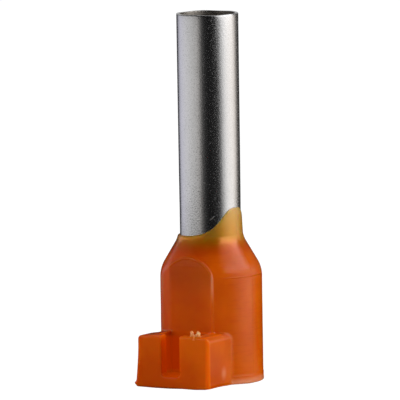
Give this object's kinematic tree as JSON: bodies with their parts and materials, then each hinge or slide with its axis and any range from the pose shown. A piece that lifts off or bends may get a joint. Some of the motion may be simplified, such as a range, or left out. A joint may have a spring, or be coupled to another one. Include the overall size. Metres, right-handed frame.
{
  "type": "wire ferrule",
  "caption": "Insulated cord-end ferrule: tinned tube for the bared strands, with a plastic collar for the cable and a slotted holder for a wire marker.",
  "frame": {"origin": "centre of the cable entry at the collar's base face, on the tube's axis", "axes": "+Z along the tube towards its tip; the marker holder faces -Y; +X is to the right of someone who looks at the holder's front"},
  "size_m": [0.0056, 0.007, 0.02],
  "materials": {
    "tinned_metal": "bright tin plating with fine drawn lines along the tube",
    "orange_plastic": "slightly translucent orange moulding, satin"
  },
  "bodies": {
    "root": {"crimp_sleeve": "tinned_metal", "insulating_collar": "orange_plastic"}
  },
  "joints": []
}
